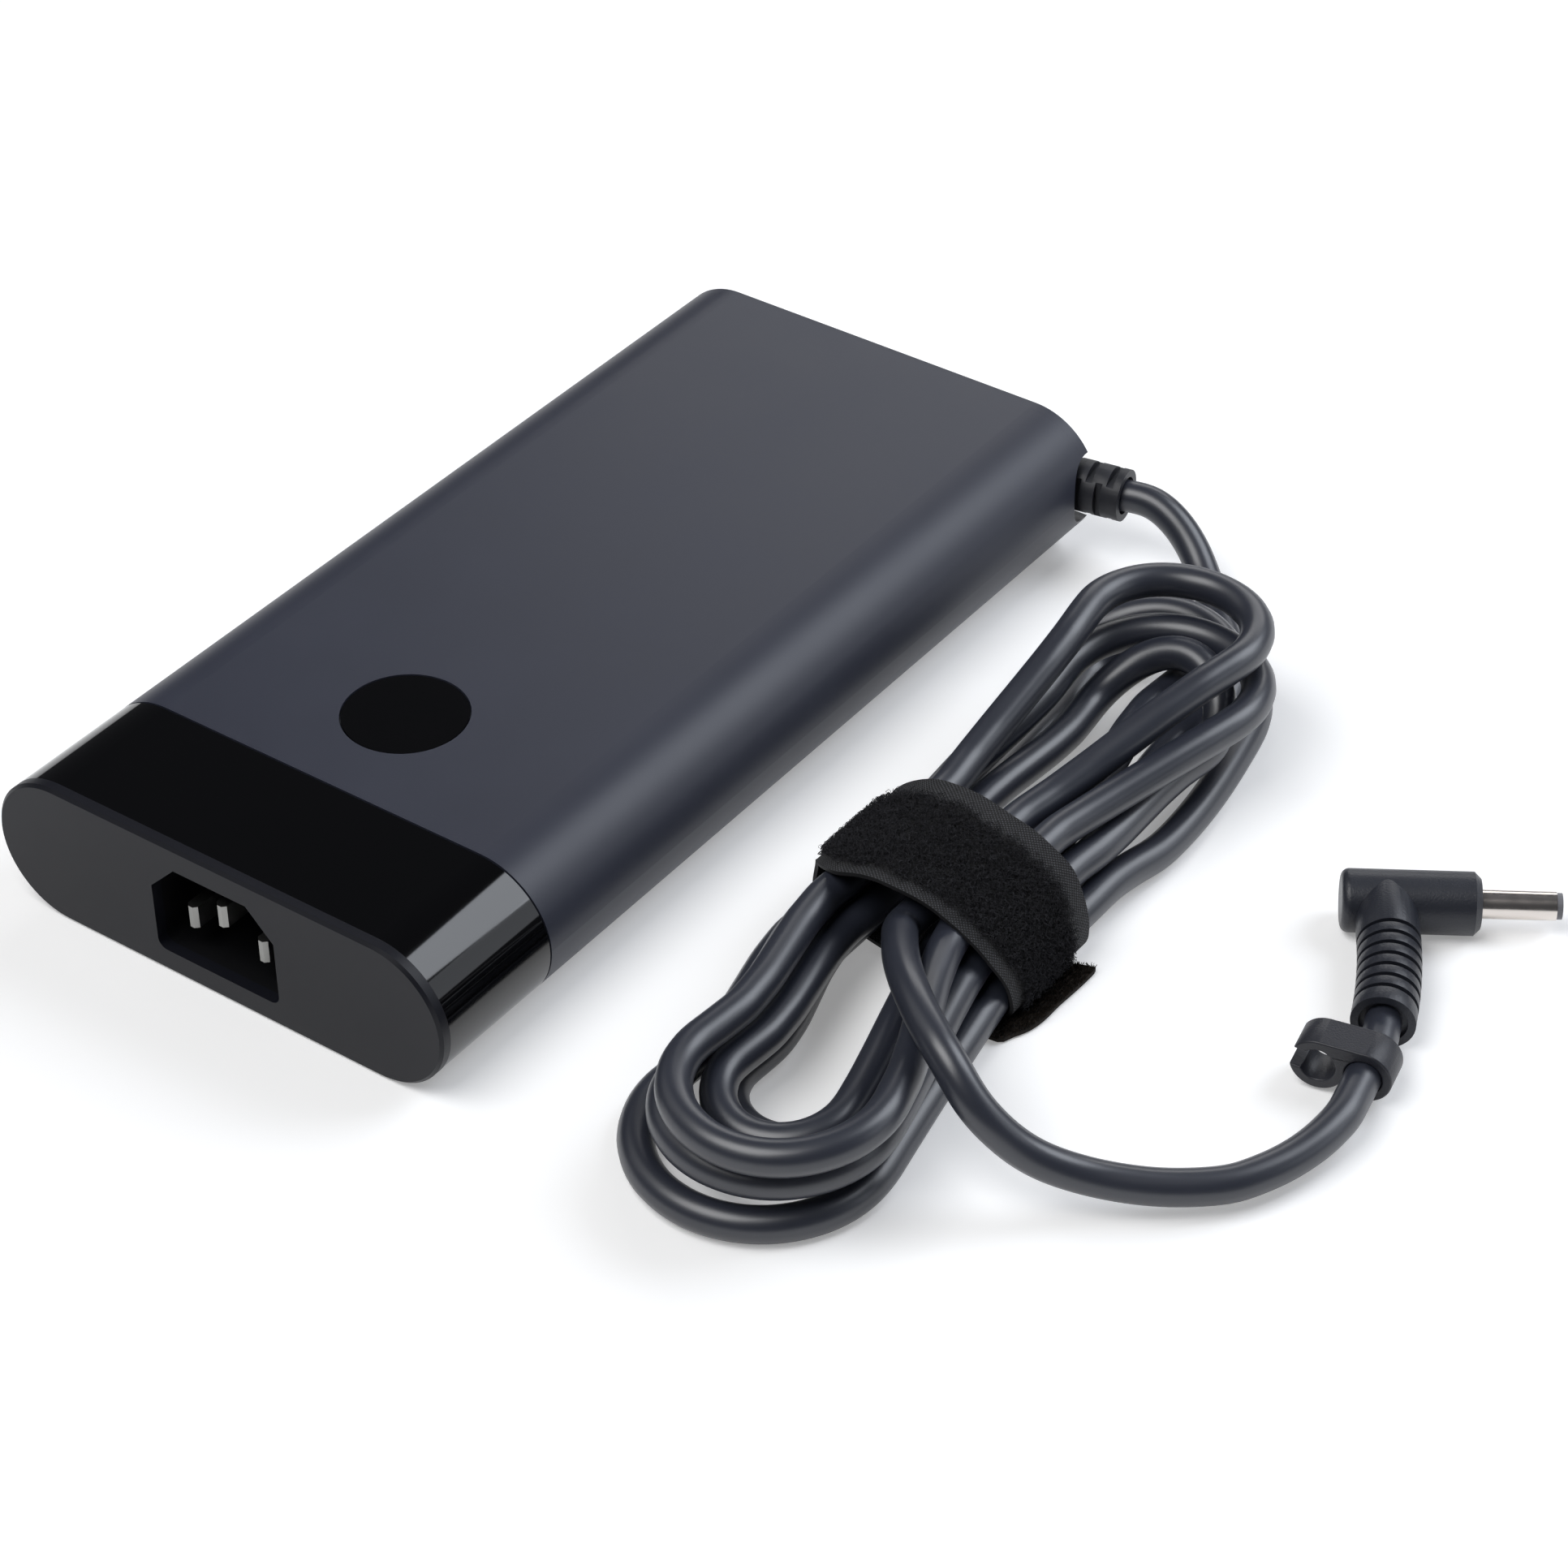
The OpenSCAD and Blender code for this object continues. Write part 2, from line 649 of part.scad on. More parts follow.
// ---------- inside
module board_outline() {
  difference() {
    translate([-board_x, board_front_y])
      square([2 * board_x, board_rear_y - board_front_y]);
    translate([notch_x - 6, rear_in_y - 14]) square([60, 60]);
  }
}
module sheet_outline() {
  difference() {
    translate([-flat_x, board_front_y])
      square([2 * flat_x, board_rear_y - board_front_y]);
    translate([notch_x - 8, rear_in_y - 15]) square([60, 60]);
  }
}
module circuit_board() {
  color("#2f6b3c") translate([0, 0, board_z])
    linear_extrude(board_thick) board_outline();
}
module insulation_sheet() {
  color("#d8d4b8") translate([0, 0, wall + 1.2])
    linear_extrude(0.4) sheet_outline();
}
module lower_shield() {
  color("#b4b6b8") translate([0, 0, wall + 0.3])
    linear_extrude(0.5) sheet_outline();
}
module upper_shield() {
  color("#b4b6b8") translate([0, 0, ch - wall - 0.8])
    linear_extrude(0.5) sheet_outline();
}
module mains_fuse() {
  r = 2.6;
  c = [26, board_front_y + 12, top_z + r];
  color("#d9d9d2") translate(c) rotate([-90, 0, 0]) {
    cylinder(r = r - 0.4, h = 12, center = true);
    for (s = [-1, 1]) translate([0, 0, 5 * s])
      cylinder(r = r, h = 3, center = true);
  }
}
module mains_choke() {
  color("#8a4a22") translate([7, board_front_y + 11, top_z])
    difference() {
      cylinder(r = 9, h = 10);
      translate([0, 0, -cut]) cylinder(r = 4, h = 12);
    }
}
module suppression_capacitor() {
  color("#d8a421") box([-18, board_front_y + 8, top_z], [20, 8, tall - 2]);
}
module y_capacitors() {
  color("#3a63a8") for (x = [-34, -28.5])
    translate([x, board_front_y + 20, top_z + 4.5]) rotate([0, 90, 0])
      cylinder(r = 4.5, h = 3);
}
module bridge_rectifier() {
  color("#1b1b1d") box([-10, board_front_y + 21, top_z], [24, 4, tall - 2]);
}
module boost_choke() {
  y = board_front_y + 40;
  color("#4a4a4c") difference() {
    box([22, y, top_z], [22, 22, tall - 1.5]);
    box([22, y, top_z + 3], [30, 12, tall - 7.5]);
  }
}
module bulk_capacitors() {
  r = tall / 2 - 0.4;
  color("#20242c") for (x = [-26, -10])
    translate([x, board_front_y + 30, top_z + r]) rotate([-90, 0, 0])
      cylinder(r = r, h = 28);
}
module primary_heat_sink() {
  color("#a9abad") box([5, board_front_y + 46, top_z], [2, 36, tall - 1]);
}
module switching_transistors() {
  color("#1b1b1d") for (y = [38, 54])
    box([8.3, board_front_y + y, top_z], [4.6, 10, tall - 3]);
}
module main_transformer() {
  y = board_front_y + 76;
  color("#3d3d3f") {
    box([-16, y, top_z], [30, 26, 3]);
    box([-16, y, top_z + tall - 4], [30, 26, 3]);
    for (s = [-1, 1]) box([-16 + s * 13, y, top_z], [4, 26, tall - 1]);
    translate([-16, y, top_z]) cylinder(r = 10, h = tall - 1);
  }
}
module secondary_heat_sink() {
  color("#a9abad") box([5, board_front_y + 92, top_z], [2, 40, tall - 1]);
}
module output_rectifiers() {
  color("#1b1b1d") for (y = [80, 96])
    box([8.3, board_front_y + y, top_z], [4.6, 10, tall - 3]);
}
module output_choke() {
  color("#b5602a") translate([24, board_front_y + 84, top_z])
    difference() {
      cylinder(r = 9, h = 10);
      translate([0, 0, -cut]) cylinder(r = 4, h = 12);
    }
}
module output_capacitors() {
  color("#20242c") for (x = [-28, -17, -6])
    translate([x, board_front_y + 100, top_z]) cylinder(r = 5, h = tall - 2);
}
module inlet_leads() {
  y0 = floor_y + socket_back + blade_tail;
  color("#7a4326") for (s = [-1, 1])
    translate([s * blade_spread / 2, y0, blade_low_z]) rotate([-90, 0, 0])
      cylinder(r = 0.9, h = board_front_y - y0 + 1.5);
  color("#5f8a3a") translate([0, y0, blade_low_z + earth_rise])
    rotate([-90, 0, 0]) cylinder(r = 0.9, h = board_front_y - y0 + 0.5);
}
module output_leads() {
  color("#a02a22") for (s = [-1, 1])
    translate([notch_x - notch_back - 10, neck_y, relief_z + s * 1.2])
      rotate([0, 90, 0]) cylinder(r = 1, h = 8 - near);
}

upper_cover();
lower_cover();
front_band();
inlet_plate();
rear_plate();
badge_disc();
inlet_socket();
pin_line();
pin_neutral();
pin_earth();
strain_relief();
cord_lead();
cord_hank();
cord_tail();
cord_tip();
cord_end();
tie_strap();
cable_clip();
plug_relief();
plug_body();
plug_barrel();
plug_insulator();
plug_pin();
circuit_board();
insulation_sheet();
lower_shield();
upper_shield();
mains_fuse();
mains_choke();
suppression_capacitor();
y_capacitors();
bridge_rectifier();
boost_choke();
bulk_capacitors();
primary_heat_sink();
switching_transistors();
main_transformer();
secondary_heat_sink();
output_rectifiers();
output_choke();
output_capacitors();
inlet_leads();
output_leads();
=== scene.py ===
# Looks of a slim laptop power adapter: case, wound cord, strap, clip and plug.
# Lengths are in millimetres, and MM turns them into Blender's metres. The case lies
# along y, with its mains inlet at the low end.
import bpy
import json
import math
import random
from mathutils import Matrix, Vector


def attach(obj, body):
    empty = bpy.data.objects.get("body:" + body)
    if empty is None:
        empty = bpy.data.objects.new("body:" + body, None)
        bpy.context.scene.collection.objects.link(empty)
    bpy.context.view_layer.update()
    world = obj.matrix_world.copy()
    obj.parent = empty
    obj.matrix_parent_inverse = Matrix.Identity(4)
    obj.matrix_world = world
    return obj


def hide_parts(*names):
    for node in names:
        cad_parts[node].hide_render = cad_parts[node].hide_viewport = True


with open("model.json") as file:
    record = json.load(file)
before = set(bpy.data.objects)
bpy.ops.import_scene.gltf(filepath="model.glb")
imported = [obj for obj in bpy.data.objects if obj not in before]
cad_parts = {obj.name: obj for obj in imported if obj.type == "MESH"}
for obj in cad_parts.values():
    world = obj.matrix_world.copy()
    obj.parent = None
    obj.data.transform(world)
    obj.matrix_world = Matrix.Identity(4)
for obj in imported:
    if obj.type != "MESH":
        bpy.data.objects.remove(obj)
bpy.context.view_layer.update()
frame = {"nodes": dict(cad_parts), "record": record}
nodes = frame["nodes"]
MM = 0.001
ROOT = "adapter"


def add(name, data, body=ROOT):
    """Put a new piece into the scene, on its body."""
    piece = bpy.data.objects.new(name, data)
    bpy.context.scene.collection.objects.link(piece)
    if body:
        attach(piece, body)
    return piece


def mesh_of(name, verts, faces):
    mesh = bpy.data.meshes.new(name)
    mesh.from_pydata(verts, [], faces)
    mesh.update()
    return mesh


# ---------- camera, in metres and degrees
VIEW_PLACE = (0.356731, -0.429881, 0.418756)
VIEW_AZIMUTH, VIEW_ELEVATION, VIEW_ROLL = 36.243, 37.922, -0.685
LENS_MM, SENSOR_MM = 97.30, 36
NEAREST, FURTHEST = 0.01, 20


def place_camera():
    azimuth, elevation, roll = (math.radians(a)
                                for a in (VIEW_AZIMUTH, VIEW_ELEVATION, VIEW_ROLL))
    back = Vector((math.sin(azimuth) * math.cos(elevation),
                   -math.cos(azimuth) * math.cos(elevation), math.sin(elevation)))
    right = (-back).cross(Vector((0, 0, 1))).normalized()
    up = right.cross(-back)
    across = right * math.cos(roll) + up * math.sin(roll)
    above = up * math.cos(roll) - right * math.sin(roll)
    data = bpy.data.cameras.new("view")
    data.lens, data.sensor_width = LENS_MM, SENSOR_MM
    data.clip_start, data.clip_end = NEAREST, FURTHEST
    camera = bpy.data.objects.new("view", data)
    turn = Matrix((across, above, back)).transposed().to_4x4()
    camera.matrix_world = Matrix.Translation(VIEW_PLACE) @ turn
    bpy.context.scene.collection.objects.link(camera)
    bpy.context.scene.camera = camera


place_camera()

# ---------- the hank: five loops of cord drawn in at the waist
CORD_R = 2.8
CORD_D = 2 * CORD_R
PITCH = 6.6                      # step from cord to cord across the waist
ROW = [4.4, 9.7, 15]             # heights of the cords that lie on each other
WAIST = Vector((81.5, -13, 0))
HALF_LOW, HALF_HIGH = 11, 15     # straight runs from the waist to either side, along y
OVER = 12                        # degrees by which a lobe's arc goes past a half turn
SPLAY = 0.18                     # sideways part of a run's heading as it leaves the waist
# each lobe: radius, tip, side shift, height at entry, middle and exit
LOW_LOBES = [[18.5, -86.5, 5.5, 2.8, 2.8, 3],
             [10.2, -68.5, 5, 3.2, 2.9, 3.2],
             [9.9, -74.5, 7.2, 9.9, 8.8, 10.2],
             [16.4, -83.5, 7.6, 9.9, 9.6, 8.8],
             [15.9, -85, 10.3, 17.2, 16.3, 16]]
HIGH_LOBES = [[15.8, 69, -7.1, 3, 9.4, 7.1],
              [8.9, 62.2, -7, 3.8, 8.2, 10],
              [11.1, 50.5, 3.8, 9.3, 17.2, 9.9],
              [16.3, 57.5, 3.5, 14.4, 16.2, 17.7],
              [13.9, 61.5, 1.8, 23.3, 22.9, 23.7]]
# places of the cord across the waist: steps from the middle, row
DOWN_SLOTS = [[2.5, 0], [1.5, 0], [1, 1], [2, 1], [1.5, 2], [0.5, 2]]
UP_SLOTS = [[-2.5, 0], [-1.5, 0], [-1, 1], [-2, 1], [-1.5, 2]]


def heading(degrees):
    a = math.radians(degrees)
    return Vector((math.cos(a), math.sin(a), 0))


def hermite(p0, m0, p1, m1, t):
    return ((2 * t ** 3 - 3 * t * t + 1) * p0 + (t ** 3 - 2 * t * t + t) * m0
            + (3 * t * t - 2 * t ** 3) * p1 + (t ** 3 - t * t) * m1)


def ease(a, b, f):
    return a + (b - a) * (1 - math.cos(math.pi * f)) / 2


def slot_at(place, way):
    """Where a run of the cord leaves the waist, towards low y (-1) or high y (1)."""
    half = HALF_LOW if way < 0 else HALF_HIGH
    return WAIST + Vector((place[0] * PITCH, way * half, ROW[place[1]]))


def lobe(enter, leave, shape, way, steps=6, arc_steps=16):
    """A loop of cord from one slot of the waist out round an arc and back to another."""
    radius, tip, shift, z0, z1, z2 = shape

    def arc_angle(f):
        return math.radians(-OVER + f * (180 + 2 * OVER))

    def on_arc(f):
        a = arc_angle(f)
        z = ease(z0, z1, 2 * f) if f < 0.5 else ease(z1, z2, 2 * f - 1)
        return Vector((WAIST.x + shift - way * radius * math.cos(a),
                       tip - way * radius + way * radius * math.sin(a), z))

    def along_arc(f):
        a = arc_angle(f)
        return Vector((way * math.sin(a), way * math.cos(a), 0))

    start, end = slot_at(enter, way), slot_at(leave, way)
    first, last = on_arc(0), on_arc(1)
    out, home = (first - start).length, (end - last).length
    lead_in = Vector((-way * SPLAY, way, 0))
    lead_out = Vector((-way * SPLAY, -way, 0))
    return ([hermite(start, out * lead_in, first, out * along_arc(0), i / steps)
             for i in range(steps)]
            + [on_arc(i / arc_steps) for i in range(arc_steps + 1)]
            + [hermite(last, home * along_arc(1), end, home * lead_out, i / steps)
               for i in range(1, steps + 1)])


def hank_line():
    line = []
    for n, (low, high) in enumerate(zip(LOW_LOBES, HIGH_LOBES)):
        line += lobe(DOWN_SLOTS[n], UP_SLOTS[n], low, -1)
        line += lobe(UP_SLOTS[n], DOWN_SLOTS[n + 1], high, 1)
    return line


# ---------- the lead: from the strain relief at the case to the hank
RELIEF_ROOT = Vector((33, 85.6, 13))
RELIEF_LENGTH, RECESS = 17, 0.8
EXIT_DIR = heading(10)
LEAD_START = RELIEF_ROOT + (RELIEF_LENGTH - RECESS) * EXIT_DIR
LEAD = [LEAD_START, LEAD_START + CORD_D * EXIT_DIR] + [Vector(p) for p in (
    (59.5, 88.9, 11.2), (64, 87.4, 8.4), (68.2, 84.6, 5.8), (73.2, 80, 4),
    (80, 73.5, 2.8), (87.5, 67.5, 2.8), (93.2, 59.5, 2.8), (96.2, 48, 2.8),
    (98.5, 34, 2.8), (99.2, 21.5, 2.9), (98.4, 13.4, 3.8), (98, 7.6, 4.4), (98, 2, 4.4))]

# ---------- the plug's ribbed relief, which the cord enters at its free end
PLUG_R, PLUG_ANGLE = 4.95, 32.5
PLUG_REAR = Vector((129.3, 24.1, PLUG_R))
NECK_PLACE, NECK_LENGTH = 6.9, 9.9     # along the plug from its rear, and out to the ribs
RIBS, RIB_PITCH, RIB_TURN = 7, 2.52, 1.4
END_COLLAR = 0.9
TIP_ANGLE, TIP_LENGTH = -78, 9.6       # straight stretch that carries the clip
BENDS, BEND_STEP = 3, 0.53             # short steps of the bend beyond the clip


def rib_angle(i):
    return PLUG_ANGLE - 90 - RIB_TURN * i


def rib_at(i):
    if i == 0:
        return PLUG_REAR + NECK_PLACE * heading(PLUG_ANGLE) + NECK_LENGTH * heading(rib_angle(0))
    return rib_at(i - 1) + RIB_PITCH * heading(rib_angle(i))


END_ANGLE = rib_angle(RIBS)
RELIEF_END = rib_at(RIBS) + END_COLLAR * heading(END_ANGLE)


def bent(n):
    """The first steps of the bend from the straight stretch towards the plug."""
    turn = (END_ANGLE - TIP_ANGLE) / BENDS
    return sum((BEND_STEP * heading(TIP_ANGLE + turn * i) for i in range(n + 1)), Vector())


TIP_NEAR = RELIEF_END + (CORD_D - RECESS) * heading(END_ANGLE) + bent(BENDS - 1)
TIP_FAR = TIP_NEAR + TIP_LENGTH * heading(TIP_ANGLE)

# ---------- the free end: from the hank, over the low lobes, through the clip to the plug
TAIL_START = slot_at(DOWN_SLOTS[-1], -1)
TAIL = [TAIL_START + Vector((0, -6, 0))] + [Vector(p) for p in (
    (87.6, -34.4, 17.4), (92.4, -41, 20.2), (98.2, -47.4, 22.4), (104.8, -53, 23),
    (111.4, -57, 21.8), (117.8, -58.6, 16.8), (124.2, -56.2, 10.6), (131.2, -52, 6.8),
    (139.8, -46.6, 5), (147.2, -40.2, 4.4), (150.4, -35, 4.3), (152.5, -29.6, 4.3),
    (153.8, -23.9, 4.6))] + [TIP_FAR + CORD_D * heading(TIP_ANGLE)]
END = ([TIP_FAR, TIP_NEAR] + [TIP_NEAR - bent(n) for n in range(BENDS)]
       + [RELIEF_END - RECESS * heading(END_ANGLE)])


def curve_through(points, steps):
    """A smooth curve through every point, with even steps between each two."""
    out = []
    for i in range(len(points) - 1):
        b, c = points[i], points[i + 1]
        a = points[i - 1] if i else 2 * b - c
        d = points[i + 2] if i + 2 < len(points) else 2 * c - b
        for j in range(steps):
            t = j / steps
            out.append(0.5 * (2 * b + (c - a) * t + (2 * a - 5 * b + 4 * c - d) * t * t
                              + (3 * b - a - 3 * c + d) * t ** 3))
    return out + [points[-1]]


def even(points, step):
    """The same line with its points a step apart."""
    out, left = [points[0]], step
    for a, b in zip(points, points[1:]):
        length, done = (b - a).length, 0.0
        while length - done > left:
            done += left
            out.append(a.lerp(b, done / length))
            left = step
        left -= length - done
    if (out[-1] - points[-1]).length < step / 2:
        out.pop()
    return out + [points[-1]]


def softened(points, passes):
    """The line with each inner point drawn towards its neighbours."""
    for _ in range(passes):
        points = [points[0], points[1]] + [
            (points[i - 1] + 2 * points[i] + points[i + 1]) / 4
            for i in range(2, len(points) - 2)] + points[-2:]
    return points


def cord_line(steps=8, spacing=1.2, passes=2):
    whole = (curve_through(LEAD, steps) + hank_line() + [TAIL_START]
             + curve_through(TAIL, steps) + END)
    return softened(even(whole, spacing), passes)


def cord_curve(points):
    """A round curve along the line: its points' radius is the cord's own."""
    data = bpy.data.curves.new("output_cord", "CURVE")
    data.dimensions = "3D"
    data.twist_mode = "MINIMUM"
    data.bevel_depth = 1.0
    data.bevel_resolution = 6
    data.use_fill_caps = True
    spline = data.splines.new("POLY")
    spline.points.add(len(points) - 1)
    for point, place in zip(spline.points, points):
        point.co = (*(place * MM), 1)
        point.radius = CORD_R * MM
    return data


line = cord_line()
cord_length = sum((b - a).length for a, b in zip(line, line[1:])) * MM
output_cord = add("output_cord", cord_curve(line))
tuple(line[0] * MM)
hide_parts("cord_lead", "cord_hank", "cord_tail", "cord_tip", "cord_end")


# ---------- shader maths
class Value:
    """A socket of a finish, with arithmetic that adds its Math nodes."""

    def __init__(self, finish, link):
        self.finish, self.link = finish, link

    def math(self, operation, *values):
        return self.finish.node("ShaderNodeMath", {"operation": operation},
                                dict(enumerate(values)))

    def __add__(self, other):
        return self.math("ADD", self, other)

    __radd__ = __add__

    def __sub__(self, other):
        return self.math("SUBTRACT", self, other)

    def __rsub__(self, other):
        return self.math("SUBTRACT", other, self)

    def __mul__(self, other):
        return self.math("MULTIPLY", self, other)

    __rmul__ = __mul__

    def __pow__(self, other):
        return self.math("POWER", self, other)

    def sine(self):
        return self.math("SINE", self)

    def part(self, axis):
        return self.finish.node("ShaderNodeSeparateXYZ", None, {0: self}, out=axis)


class Finish:
    """A material on one Principled shader; fixed values go on its sockets directly."""

    def __init__(self, name, color, rough, **fixed):
        self.material = bpy.data.materials.new(name)
        self.material.use_nodes = True
        self.tree = self.material.node_tree
        self.shader = self.tree.nodes["Principled BSDF"]
        self.set("Base Color", color)
        self.set("Roughness", rough)
        for socket, value in fixed.items():
            self.set(socket.replace("_", " "), value)

    def set(self, socket, value):
        self.put(self.shader.inputs[socket], value)

    def put(self, socket, value):
        if isinstance(value, Value):
            self.tree.links.new(value.link, socket)
        elif isinstance(value, tuple) and len(socket.default_value) == 4:
            socket.default_value = (*value, 1)
        else:
            socket.default_value = value

    def node(self, kind, settings=None, inputs=None, out=0):
        made = self.tree.nodes.new(kind)
        for key, value in (settings or {}).items():
            setattr(made, key, value)
        for key, value in (inputs or {}).items():
            self.put(made.inputs[key], value)
        return Value(self, made.outputs[out])

    def place(self, kind="Object"):
        return self.node("ShaderNodeTexCoord", out=kind)

    def noise(self, size, detail):
        return self.node("ShaderNodeTexNoise", None, {
            "Vector": self.place(), "Scale": 1 / (size * MM), "Detail": detail})

    def mix(self, factor, a, b):
        return self.node("ShaderNodeMix", {"data_type": "RGBA"},
                         {0: factor, 6: a, 7: b}, out=2)

    def bump(self, height, strength, depth):
        self.set("Normal", self.node("ShaderNodeBump", None, {
            "Height": height, "Strength": strength, "Distance": depth * MM}))


# ---------- moulded plastic and rubber
CLOUD_SIZE = 18
CLOUD_DARK, CLOUD_LIGHT = 0.9, 1.12
GRAIN_STRENGTH = 0.35


def moulded(name, color, rough, grain=0.35, depth=0.02, spread=0.08, **fixed):
    """Moulded plastic or rubber with a fine eroded grain and faint clouds of tone."""
    finish = Finish(name, color, rough, **fixed)
    cloud = finish.noise(CLOUD_SIZE, 3)
    dark = tuple(c * CLOUD_DARK for c in color)
    light = tuple(c * CLOUD_LIGHT for c in color)
    finish.set("Base Color", finish.mix(cloud, dark, light))
    finish.set("Roughness", rough - spread / 2 + cloud * spread)
    finish.bump(finish.noise(grain, 2), GRAIN_STRENGTH, depth)
    return finish


SLEEVE = moulded("sleeve_plastic", (0.029, 0.032, 0.048), 0.42, 0.25, 0.02,
                 Specular_IOR_Level=0.42)
BAND = moulded("gloss_plastic", (0.0012, 0.0012, 0.0016), 0.07, 6, 0.004, 0.02)
PLATE = moulded("end_plate_plastic", (0.006, 0.0065, 0.0105), 0.42, 0.2, 0.012,
                Specular_IOR_Level=0.25)
SOCKET = moulded("inlet_plastic", (0.003, 0.003, 0.004), 0.5, 0.3, 0.02,
                 Specular_IOR_Level=0.25)
JACKET = moulded("cord_jacket", (0.022, 0.025, 0.037), 0.36, 0.25, 0.008,
                 Specular_IOR_Level=0.85)
RUBBER = moulded("relief_rubber", (0.014, 0.015, 0.020), 0.50, 0.3, 0.015)
CLIP = moulded("clip_rubber", (0.017, 0.018, 0.025), 0.42, 0.32, 0.11)
PLUG = moulded("plug_plastic", (0.018, 0.020, 0.028), 0.40, 0.34, 0.13)
TIP = moulded("tip_plastic", (0.16, 0.16, 0.175), 0.45, 0.3, 0.01)
BOARD = moulded("board_mask", (0.03, 0.14, 0.05), 0.4)

# ---------- metal
SMUDGE_SIZE, SMUDGE_ROUGHENS = 2.5, 0.12
MARK_SIZE, MARK_STRENGTH, MARK_DEPTH = 0.15, 0.15, 0.004


def metal(name, color, rough):
    """Plated metal with faint turning marks and smudges."""
    finish = Finish(name, color, rough, Metallic=1.0)
    finish.set("Roughness", rough + finish.noise(SMUDGE_SIZE, 4) * SMUDGE_ROUGHENS)
    finish.bump(finish.noise(MARK_SIZE, 2), MARK_STRENGTH, MARK_DEPTH)
    return finish


NICKEL = metal("nickel_plate", (0.70, 0.65, 0.61), 0.16)
BLADE = metal("blade_metal", (0.34, 0.34, 0.33), 0.3)
BRASS = metal("brass", (0.75, 0.55, 0.25), 0.2)
ALUMINIUM = metal("aluminium", (0.65, 0.65, 0.66), 0.35)

# ---------- which finish goes on which slot of the record
FINISH_OF = {
    "sleeve": SLEEVE, "gloss_band": BAND, "satin_plate": PLATE, "socket_plastic": SOCKET,
    "nickel": NICKEL, "relief_rubber": RUBBER, "cord_jacket": JACKET, "clip_rubber": CLIP,
    "plug_plastic": PLUG, "tip_plastic": TIP, "brass_contact": BRASS, "board": BOARD,
    "shield_aluminium": ALUMINIUM}
# plain coloured components on and round the board
INSIDE_COLORS = {
    "insulating_film": (0.62, 0.58, 0.45), "fuse_ceramic": (0.75, 0.74, 0.70),
    "copper_winding": (0.36, 0.13, 0.05), "film_capacitor": (0.62, 0.40, 0.05),
    "ceramic_capacitor": (0.05, 0.14, 0.42), "component_black": (0.02, 0.02, 0.02),
    "ferrite": (0.06, 0.06, 0.065), "capacitor_sleeve": (0.02, 0.025, 0.035),
    "lead_insulation": (0.32, 0.08, 0.05)}
INSIDE_ROUGH = 0.45
for slot_name, color in INSIDE_COLORS.items():
    FINISH_OF[slot_name] = moulded(slot_name + "_finish", color, INSIDE_ROUGH)
BLADES = ("pin_line", "pin_neutral", "pin_earth")


def finish_nodes():
    """Give every carried-over node the finish of its slot."""
    for entry in frame["record"]["subparts"]:
        finish = FINISH_OF.get(entry["material_slot"])
        if entry["node"] in BLADES:
            finish = BLADE
        if finish:
            for place in nodes[entry["node"]].material_slots:
                place.link = "OBJECT"
                place.material = finish.material


# ---------- small moulded rounds
EDGE_ROUNDS = {"cable_clip": 0.3, "plug_relief": 0.22, "strain_relief": 0.2}
EDGE_ANGLE, EDGE_STEPS = 35, 3
JOIN_WITHIN = 1e-6


def round_edges(name, width):
    """A small moulded round on a piece's own edges."""
    weld = nodes[name].modifiers.new("join", "WELD")
    weld.merge_threshold = JOIN_WITHIN
    bevel = nodes[name].modifiers.new("edges", "BEVEL")
    bevel.width, bevel.segments = width * MM, EDGE_STEPS
    bevel.limit_method, bevel.angle_limit = "ANGLE", math.radians(EDGE_ANGLE)
    bevel.harden_normals = True


output_cord.data.materials.append(JACKET.material)
for name, width in EDGE_ROUNDS.items():
    round_edges(name, width)
finish_nodes()

# ---------- strap: a thin woven band round the waist, with a curled pile between its edges
STRAP_IN, STRAP_OUT = 3.3, 3.95          # its two faces, from the outer cords' middle
HALF_SPAN, DOME = 2.5 * PITCH, 13.3      # to the outer cords, and up over the lowest row
FRONT_RIM, BACK_RIM = 2.5, 4.5           # bare woven edges at low y and at high y
STRAP_STEP, PILE_STEP, FINE_STEP = 0.4, 0.2, 0.1
# the band's front and back edges over the hank, from left to right
FRONT_EDGE = [(62, -19.5), (66, -25), (69, -28), (72.6, -30), (76, -29.6), (82, -29.5),
              (88, -29.1), (96, -28.2), (99.3, -27.2), (101.1, -26), (102, -25)]
BACK_EDGE = [(62, -1.5), (68, -2), (74, -2.6), (78, -3.3), (82, -3.9), (88, -4.5),
             (94, -3.8), (98, -3.2), (101, -3.9), (102, -4.5)]
# slow waver of an edge: how far, and how many waves all round
WAVERS = ((0.10, 3), (0.07, 11))
WEAVE_UV = 100                           # millimetres of strap to one unit of its UV map
PILE_FADE = 0.5


def arc(x, wide, high, first, last, steps):
    """Points of an elliptic arc about the lowest row, from angle to angle."""
    angles = (math.radians(first + (last - first) * j / steps) for j in range(steps + 1))
    return [Vector((WAIST.x + x + wide * math.cos(a), ROW[0] + high * math.sin(a), 0))
            for a in angles]


def strap_section(radius, step):
    """Closed line round the hank: flat below, domed above, with its outward ways."""
    ring = (arc(-HALF_SPAN, radius, radius, 180, 270, 12)
            + arc(HALF_SPAN, radius, radius, 270, 360, 12)
            + arc(0, HALF_SPAN + radius, DOME + radius, 2.5, 177.5, 70))
    closed = even(ring + [ring[0]], FINE_STEP)
    count = int((len(closed) - 1) * FINE_STEP / step)
    line = [closed[int(i * (len(closed) - 1) / count)] for i in range(count)]
    ways = []
    for i in range(count):
        run = (line[(i + 1) % count] - line[i - 1]).normalized()
        ways.append(Vector((run.y, -run.x, 0)))
    return line, ways


